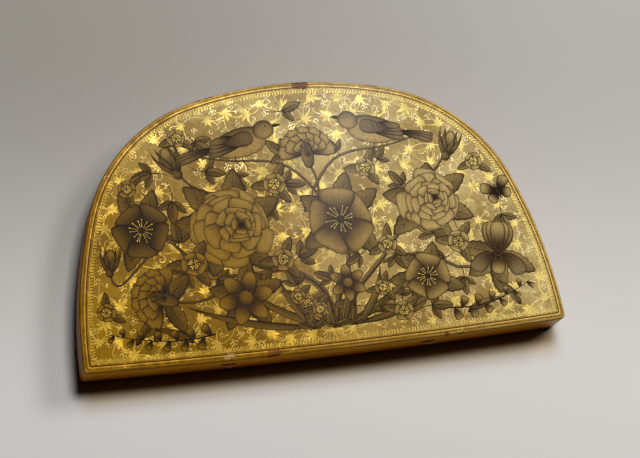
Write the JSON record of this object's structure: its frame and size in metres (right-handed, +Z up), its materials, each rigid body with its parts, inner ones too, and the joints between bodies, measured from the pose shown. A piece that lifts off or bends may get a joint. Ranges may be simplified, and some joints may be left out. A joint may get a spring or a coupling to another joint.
{
  "type": "lacquer mirror case",
  "caption": "Flat D-shaped lacquered pasteboard case: a hinged lid over a bevelled frame that holds a mirror.",
  "frame": {"origin": "under the middle of the closed case, hinges counted, on the surface it lies on", "axes": "+X along the straight hinged side, +Y from the hinged side to the crown of the arch, +Z up through the lid"},
  "size_m": [0.225, 0.13, 0.0176],
  "materials": {
    "gold_lacquer": "painted gold ground under aged, finely crazed varnish",
    "wall_lacquer": "ochre brown lacquer, worn along its edges",
    "back_lacquer": "dark red-brown lacquer with a gold border",
    "lining_lacquer": "deep red lacquer with gold ornament",
    "frame_lacquer": "dark lacquer with gold lines and scroll",
    "gilding": "rubbed gilding",
    "pasteboard": "bare pasteboard",
    "silvering": "old silvering with grey specks",
    "glass": "clear glass",
    "brass_wire": "dull brass wire, lacquered over"
  },
  "bodies": {
    "case": {"case_back_board": "back_lacquer", "case_arch_wall": "wall_lacquer", "case_straight_wall": "wall_lacquer", "mirror_bed": "pasteboard", "mirror_silvering": "silvering", "mirror_glass": "glass", "glass_packing": "pasteboard", "mirror_frame": "frame_lacquer", "gilt_bead": "gilding", "hinge_staple_left": "brass_wire", "hinge_staple_right": "brass_wire"},
    "lid": {"lid_board": "gold_lacquer", "lid_arch_rim": "wall_lacquer", "lid_straight_rim": "wall_lacquer", "lid_lining": "lining_lacquer", "hinge_eye_left": "brass_wire", "hinge_eye_right": "brass_wire"}
  },
  "joints": [
    {"name": "lid_hinge", "type": "hinge", "parent": "case", "child": "lid", "pos_m": [0, -0.06387, 0.01055], "axis": [1, 0, 0], "range_deg": [0, 180]}
  ]
}
